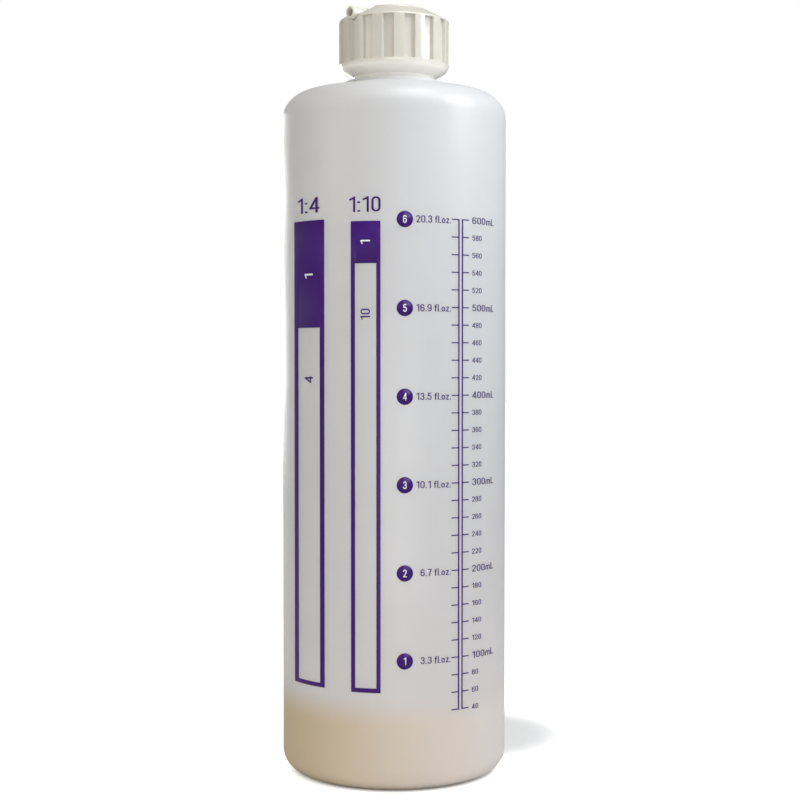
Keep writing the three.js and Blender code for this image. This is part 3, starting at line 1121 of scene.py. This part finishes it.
# %% The mixing bars
BAR_SIZES = (
    # left, left inner, right inner, right, bottom, bottom inner, hollow top, top
    (-37.2, -34.7, -24.35, -22.55, 31.1, 32.4, 141.15, 173.9),
    (-13.16, -11.86, -5.2, -3.93, 30.8, 32.15, 160.35, 173.0),
)
BAR_WORDS = (
    # words, left, right, bottom, top, reads upward, knocked out
    ("1:4", -34.98, -24.40, 176.2, 180.9, False, False),
    ("1:10", -13.74, -3.90, 175.7, 180.35, False, False),
    ("1", -31.1, -27.3, 156.2, 157.7, True, True),
    ("4", -31.1, -27.3, 124.2, 126.4, True, False),
    ("1", -10.1, -7.1, 166.0, 167.3, True, True),
    ("10", -10.1, -7.1, 143.3, 146.7, True, False),
)
bars = bmesh.new()
white = bmesh.new()
for left, left_in, right_in, right, bottom, bottom_in, hollow_top, top in BAR_SIZES:
    add_rectangle(bars, left, left_in, bottom, hollow_top)
    add_rectangle(bars, right_in, right, bottom, hollow_top)
    add_rectangle(bars, left_in, right_in, bottom, bottom_in)
    add_rectangle(bars, left, right, hollow_top, top)
    knit(bars, [left_in, right_in], [bottom_in, hollow_top])
for words, left, right, bottom, top, upward, knocked_out in BAR_WORDS:
    add_words(white if knocked_out else bars, words, left, right, bottom, top, upward)
mixing_bars = wrapped(bars, "mixing_bars", PURPLE, INK_PROUD)

# %% [markdown]
# ## The volume scale
# Two lines run up the bottle with a tick every 20 millilitres on both sides. The height of a
# volume follows from the bottle's inside: each 100 millilitres takes 26.6 mm.

# %% Heights of the volumes
SCALE_FOOT_VOLUME = 40
SCALE_TOP_VOLUME = 600
VOLUMES = range(SCALE_FOOT_VOLUME, SCALE_TOP_VOLUME + 1, 20)
SCALE_FOOT = 24.8
RISE_PER_MILLILITRE = 0.26607
TICK_HALF = 0.17
LINE_LEFT = (20.72, 21.2)
LINE_RIGHT = (22.05, 22.53)
TICK_LEFT_END = 18.37
TICK_RIGHT_END = 24.9


def level(volume):
    return SCALE_FOOT + (volume - SCALE_FOOT_VOLUME) * RISE_PER_MILLILITRE


SCALE_TOP = level(SCALE_TOP_VOLUME)
print("scale from", SCALE_FOOT, "to", round(SCALE_TOP, 1), "mm")

# %% The lines, ticks and volumes
FIGURES_LEFT = 26.3
FULL_RIGHT = 37.3
THREE_DIGITS_RIGHT = 30.5
TWO_DIGITS_RIGHT = 29.1
FULL_HALF = 1.05
SMALL_HALF = 0.8

scale = bmesh.new()
for left, right in (LINE_LEFT, LINE_RIGHT):
    add_rectangle(scale, left, right, SCALE_FOOT - TICK_HALF, SCALE_TOP + TICK_HALF)
for volume in VOLUMES:
    low, high = level(volume) - TICK_HALF, level(volume) + TICK_HALF
    add_rectangle(scale, TICK_LEFT_END, LINE_LEFT[0], low, high)
    add_rectangle(scale, LINE_RIGHT[1], TICK_RIGHT_END, low, high)
tick_edges = [level(volume) + side for volume in VOLUMES for side in (-TICK_HALF, TICK_HALF)]
knit(scale, [*LINE_LEFT, *LINE_RIGHT], tick_edges)
for volume in VOLUMES:
    full = volume % 100 == 0
    words = f"{volume}mL" if full else f"{volume}"
    small_right = THREE_DIGITS_RIGHT if volume > 99 else TWO_DIGITS_RIGHT
    right = FULL_RIGHT if full else small_right
    half = FULL_HALF if full else SMALL_HALF
    add_words(scale, words, FIGURES_LEFT, right, level(volume) - half, level(volume) + half)
print("volumes on the scale:", len(VOLUMES))

# %% [markdown]
# Six round badges number the parts, with the volume in fluid ounces beside each. The digits
# in the badges are knocked out of the ink, so the plastic shows through them.

# %% The badges and ounces
BADGE_X = 3.4
BADGE_RADIUS = 2.47
BADGE_DROP = 0.3
DIGIT_TALL_HALF = 1.15
OUNCES_RIGHT = 18.05
OUNCES_BELOW = 1.0
OUNCES_ABOVE = 1.2
OUNCES = (
    # badge, half width of its digit, ounces, left edge of the ounces
    (6, 0.55, 20.3, 6.84),
    (5, 0.55, 16.9, 6.84),
    (4, 0.55, 13.5, 6.84),
    (3, 0.55, 10.1, 6.84),
    (2, 0.55, 6.7, 8.2),
    (1, 0.38, 3.3, 8.2),
)
for number, half, ounces, left in OUNCES:
    height = level(100 * number) - BADGE_DROP
    low, high = height - DIGIT_TALL_HALF, height + DIGIT_TALL_HALF
    add_disc(scale, BADGE_X, height, BADGE_RADIUS)
    add_words(white, f"{number}", BADGE_X - half, BADGE_X + half, low, high)
    low, high = height - OUNCES_BELOW, height + OUNCES_ABOVE
    add_words(scale, f"{ounces} fl.oz.", left, OUNCES_RIGHT, low, high)
volume_scale = wrapped(scale, "volume_scale", PURPLE, INK_PROUD)
knockouts = wrapped(white, "knocked_out_figures", KNOCKOUT, KNOCKOUT_PROUD)

# %% [markdown]
# ## Floor and light
# The scene is a studio shot on white: soft lights on the right and above, a weaker warm one on the
# left that throws a faint shadow to the right, and white all round. A low lamp behind the bottle
# keeps its back out of the dark. The floor and the world are white only where the camera sees them,
# straight or through the plastic, by Light Path, so the white adds no light to the bottle. Inside
# two circles, one under the bottle and one behind it, the floor loses that white and shows its
# plain lit grey. This gives a painted shadow behind the bottle and a painted contact shade round
# its foot, and the lamps' real shadow also shows inside them.

# %% The floor
# Inside these circles the floor has no white glow: painted shadow and painted contact shade, over
# the lamps' real shadow.
SHADOW_CENTRE = (0.022, 0.045, 0.0)
SHADOW_FADE = (0.025, 0.056)
CONTACT_SHADE_CENTRE = (0.0, 0.0, 0.0)
CONTACT_SHADE_FADE = (0.029, 0.0365)


def seen_by_camera(nodes, links):
    """1 where the camera sees a surface, straight or through the plastic, and 0 for light."""
    path = nodes.new("ShaderNodeLightPath")
    seen = nodes.new("ShaderNodeMath")
    seen.operation = "MAXIMUM"
    links.new(path.outputs["Is Camera Ray"], seen.inputs[0])
    links.new(path.outputs["Is Transmission Ray"], seen.inputs[1])
    return seen.outputs[0]


def fade_out(nodes, links, centre, radii):
    """A value from 0 inside a circle on the floor to 1 outside a wider one."""
    place = nodes.new("ShaderNodeTexCoord")
    distance = nodes.new("ShaderNodeVectorMath")
    distance.operation = "DISTANCE"
    distance.inputs[1].default_value = centre
    links.new(place.outputs["Object"], distance.inputs[0])
    fade = nodes.new("ShaderNodeMapRange")
    fade.interpolation_type = "SMOOTHSTEP"
    fade.inputs["From Min"].default_value = radii[0]
    fade.inputs["From Max"].default_value = radii[1]
    links.new(distance.outputs["Value"], fade.inputs["Value"])
    return fade.outputs["Result"]


def floor_material():
    material = bpy.data.materials.new("pale floor")
    material.use_nodes = True
    nodes, links = material.node_tree.nodes, material.node_tree.links
    shader = nodes["Principled BSDF"]
    shader.inputs["Base Color"].default_value = (0.8, 0.8, 0.8, 1.0)
    shader.inputs["Roughness"].default_value = 0.9
    shader.inputs["Emission Color"].default_value = (1.0, 1.0, 1.0, 1.0)
    clear = nodes.new("ShaderNodeMath")
    clear.operation = "MINIMUM"
    links.new(fade_out(nodes, links, SHADOW_CENTRE, SHADOW_FADE), clear.inputs[0])
    links.new(fade_out(nodes, links, CONTACT_SHADE_CENTRE, CONTACT_SHADE_FADE), clear.inputs[1])
    glow = nodes.new("ShaderNodeMath")
    glow.operation = "MULTIPLY"
    links.new(seen_by_camera(nodes, links), glow.inputs[0])
    links.new(clear.outputs[0], glow.inputs[1])
    links.new(glow.outputs[0], shader.inputs["Emission Strength"])
    return material


FLOOR_HALF = 4000.0
ground = bmesh.new()
bmesh.ops.create_grid(ground, x_segments=1, y_segments=1, size=FLOOR_HALF)
floor = made(ground, "floor", floor_material())


# %% The world
ROOM_LIGHT = 0.39


def white_world():
    world = bpy.data.worlds.new("white studio")
    world.use_nodes = True
    nodes, links = world.node_tree.nodes, world.node_tree.links
    background = nodes["Background"]
    strength = nodes.new("ShaderNodeMapRange")
    strength.inputs["To Min"].default_value = ROOM_LIGHT
    strength.inputs["To Max"].default_value = 1.0
    background.inputs["Color"].default_value = (1.0, 1.0, 1.0, 1.0)
    links.new(seen_by_camera(nodes, links), strength.inputs["Value"])
    links.new(strength.outputs["Result"], background.inputs["Strength"])
    bpy.context.scene.world = world


white_world()
print("room light:", ROOM_LIGHT)


# %% The lamps
def softbox(name, aim_height, azimuth, elevation, distance, width, height, power, colour):
    """A rectangular lamp that faces the axis. Azimuth runs from the front to the right."""
    data = bpy.data.lights.new(name, "AREA")
    data.shape = "RECTANGLE"
    data.size = width
    data.size_y = height
    data.energy = power
    data.color = colour
    lamp = bpy.data.objects.new(name, data)
    side, up = math.radians(azimuth), math.radians(elevation)
    across, ahead = math.sin(side) * math.cos(up), -math.cos(side) * math.cos(up)
    direction = Vector((across, ahead, math.sin(up)))
    lamp.location = Vector((0.0, 0.0, aim_height)) + direction * distance
    lamp.rotation_euler = direction.to_track_quat("Z", "Y").to_euler()
    bpy.context.scene.collection.objects.link(lamp)
    print("lamp", name, "at", [round(value, 2) for value in lamp.location])


WHITE = (1.0, 1.0, 1.0)
WARM = (1.0, 0.92, 0.74)
COOL = (0.92, 0.96, 1.0)
LAMPS = (
    # name, aim height, azimuth, elevation, distance, width, height, power, colour
    ("high right strip", 0.22, 70.0, 25.0, 0.28, 0.12, 0.15, 0.58, COOL),
    ("top light", 0.22, 35.0, 62.0, 0.5, 0.25, 0.25, 1.44, WHITE),
    ("left fill", 0.17, -60.0, 22.0, 0.7, 0.35, 0.45, 1.05, WARM),
    ("low front fill", 0.22, 5.0, -14.0, 0.7, 0.5, 0.12, 1.45, WHITE),
    ("low back fill", 0.12, -155.0, 6.0, 0.8, 0.4, 0.3, 1.6, WHITE),
)
for lamp_row in LAMPS:
    softbox(*lamp_row)

# %% [markdown]
# ## The end
# Colours are shown as they are written, so the view transform is Standard.

# %% The view transform
bpy.context.scene.view_settings.view_transform = "Standard"
